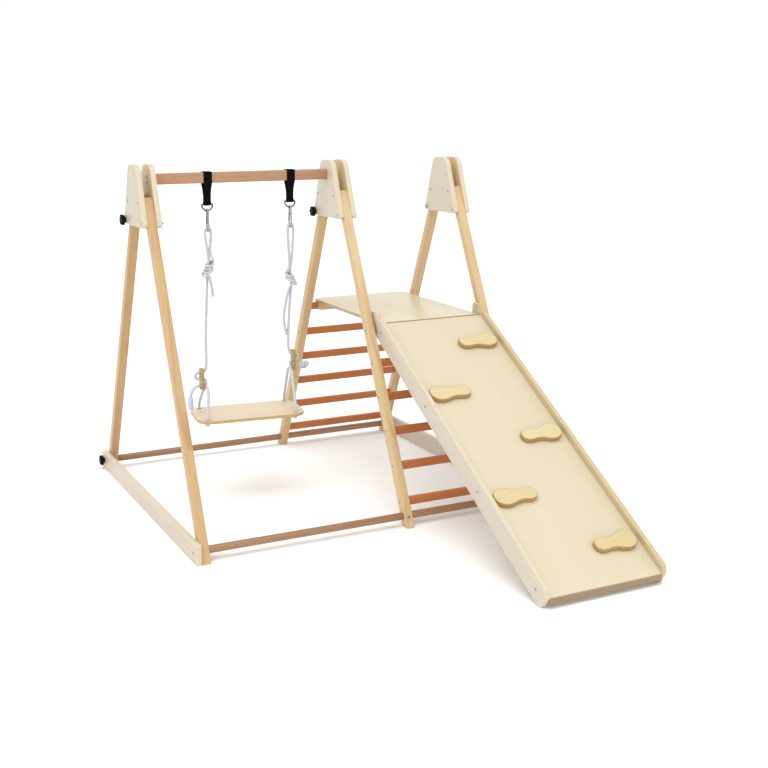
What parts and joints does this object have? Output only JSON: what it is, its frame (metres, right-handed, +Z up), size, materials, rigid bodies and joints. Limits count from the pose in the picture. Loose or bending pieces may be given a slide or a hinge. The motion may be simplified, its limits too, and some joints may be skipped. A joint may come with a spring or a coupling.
{
  "type": "toddler climbing set with slide and swing",
  "caption": "Wooden indoor climbing set for toddlers: a rope swing beside two ladders with a platform, and a hook-on slide ramp with climbing holds.",
  "frame": {"origin": "on the floor, below the middle of the whole set", "axes": "+Z up, +X along the top bar from the swing bay to the ladder bay, -Y towards the low end of the slide"},
  "size_m": [1.2752, 2.06, 1.212],
  "materials": {
    "pine": "planed, thin clear varnish",
    "beech": "reddish, satin varnish",
    "birch_ply": "satin, layered edges",
    "ramp_board": "smooth satin varnish",
    "hold_wood": "satin, layered edges",
    "seat_ply": "satin, layered edges",
    "black_plastic": "moulded, matt",
    "webbing": "woven, stitched",
    "dark_steel": "dull",
    "zinc_steel": "zinc plated",
    "rope": "braided"
  },
  "bodies": {
    "frame": {"leg_left_front": "pine", "leg_left_rear": "pine", "leg_middle_front": "pine", "leg_middle_rear": "pine", "leg_right_front": "pine", "leg_right_rear": "pine", "gusset_left_outer": "birch_ply", "gusset_left_inner": "birch_ply", "gusset_middle_swing_side": "birch_ply", "gusset_middle_ladder_side": "birch_ply", "gusset_right_inner": "birch_ply", "gusset_right_outer": "birch_ply", "base_plank_left": "birch_ply", "base_plank_right": "birch_ply", "top_bar": "beech", "floor_rod_swing_front": "beech", "floor_rod_swing_rear": "beech", "floor_rod_ladder_front": "beech", "floor_rod_ladder_rear": "beech", "rung_front_1": "beech", "rung_front_2": "beech", "rung_front_3": "beech", "rung_front_4": "beech", "rung_front_5": "beech", "rung_front_6": "beech", "rung_rear_1": "beech", "rung_rear_2": "beech", "rung_rear_3": "beech", "rung_rear_4": "beech", "rung_rear_5": "beech", "rung_rear_6": "beech", "strap_left": "webbing", "strap_right": "webbing"},
    "swing": {"ring_left": "dark_steel", "ring_right": "dark_steel", "snap_hook_left": "zinc_steel", "snap_hook_right": "zinc_steel", "toggle_left": "seat_ply", "toggle_right": "seat_ply", "rope_left": "rope", "rope_right": "rope", "seat": "seat_ply"},
    "gate_left": {"hook_gate_left": "zinc_steel"},
    "gate_right": {"hook_gate_right": "zinc_steel"},
    "platform": {"platform_board": "birch_ply", "platform_batten_front": "birch_ply", "platform_batten_rear": "birch_ply"},
    "ramp": {"ramp_panel": "ramp_board", "ramp_rail_left": "birch_ply", "ramp_rail_right": "birch_ply", "hold_1": "hold_wood", "hold_2": "hold_wood", "hold_3": "hold_wood", "hold_4": "hold_wood", "hold_5": "hold_wood"},
    "top_knob_left": {"knob_top_left": "black_plastic"},
    "top_knob_middle": {"knob_top_middle": "black_plastic"},
    "top_knob_right": {"knob_top_right": "black_plastic"},
    "foot_knob_left": {"knob_foot_left": "black_plastic"},
    "foot_knob_right": {"knob_foot_right": "black_plastic"}
  },
  "joints": [
    {"name": "swing_hinge", "type": "hinge", "parent": "frame", "child": "swing", "pos_m": [-0.207, 0.408, 1.068], "axis": [1, 0, 0], "range_deg": [-40, 40]},
    {"name": "gate_left_hinge", "type": "hinge", "parent": "swing", "child": "gate_left", "pos_m": [-0.36, 0.418, 0.9948], "axis": [1, 0, 0], "range_deg": [0, 15], "stiffness_Nm_per_rad": 0.02},
    {"name": "gate_right_hinge", "type": "hinge", "parent": "swing", "child": "gate_right", "pos_m": [-0.054, 0.418, 0.9948], "axis": [1, 0, 0], "range_deg": [0, 15], "stiffness_Nm_per_rad": 0.02},
    {"name": "platform_lift", "type": "slide", "parent": "frame", "child": "platform", "axis": [0, 0, 1], "range_m": [0, 0.1]},
    {"name": "ramp_lift", "type": "slide", "parent": "frame", "child": "ramp", "axis": [0, 0, 1], "range_m": [0, 0.06]},
    {"name": "top_knob_left_turn", "type": "hinge", "parent": "frame", "child": "top_knob_left", "pos_m": [-0.626, 0.51366, 1.016], "axis": [1, 0, 0], "continuous": true},
    {"name": "top_knob_middle_turn", "type": "hinge", "parent": "frame", "child": "top_knob_middle", "pos_m": [0.08, 0.51366, 1.016], "axis": [1, 0, 0], "continuous": true},
    {"name": "top_knob_right_turn", "type": "hinge", "parent": "frame", "child": "top_knob_right", "pos_m": [0.626, 0.51366, 1.016], "axis": [1, 0, 0], "continuous": true},
    {"name": "foot_knob_left_turn", "type": "hinge", "parent": "frame", "child": "foot_knob_left", "pos_m": [-0.626, 0.99435, 0.035], "axis": [1, 0, 0], "continuous": true},
    {"name": "foot_knob_right_turn", "type": "hinge", "parent": "frame", "child": "foot_knob_right", "pos_m": [0.626, 0.99435, 0.035], "axis": [1, 0, 0], "continuous": true}
  ]
}
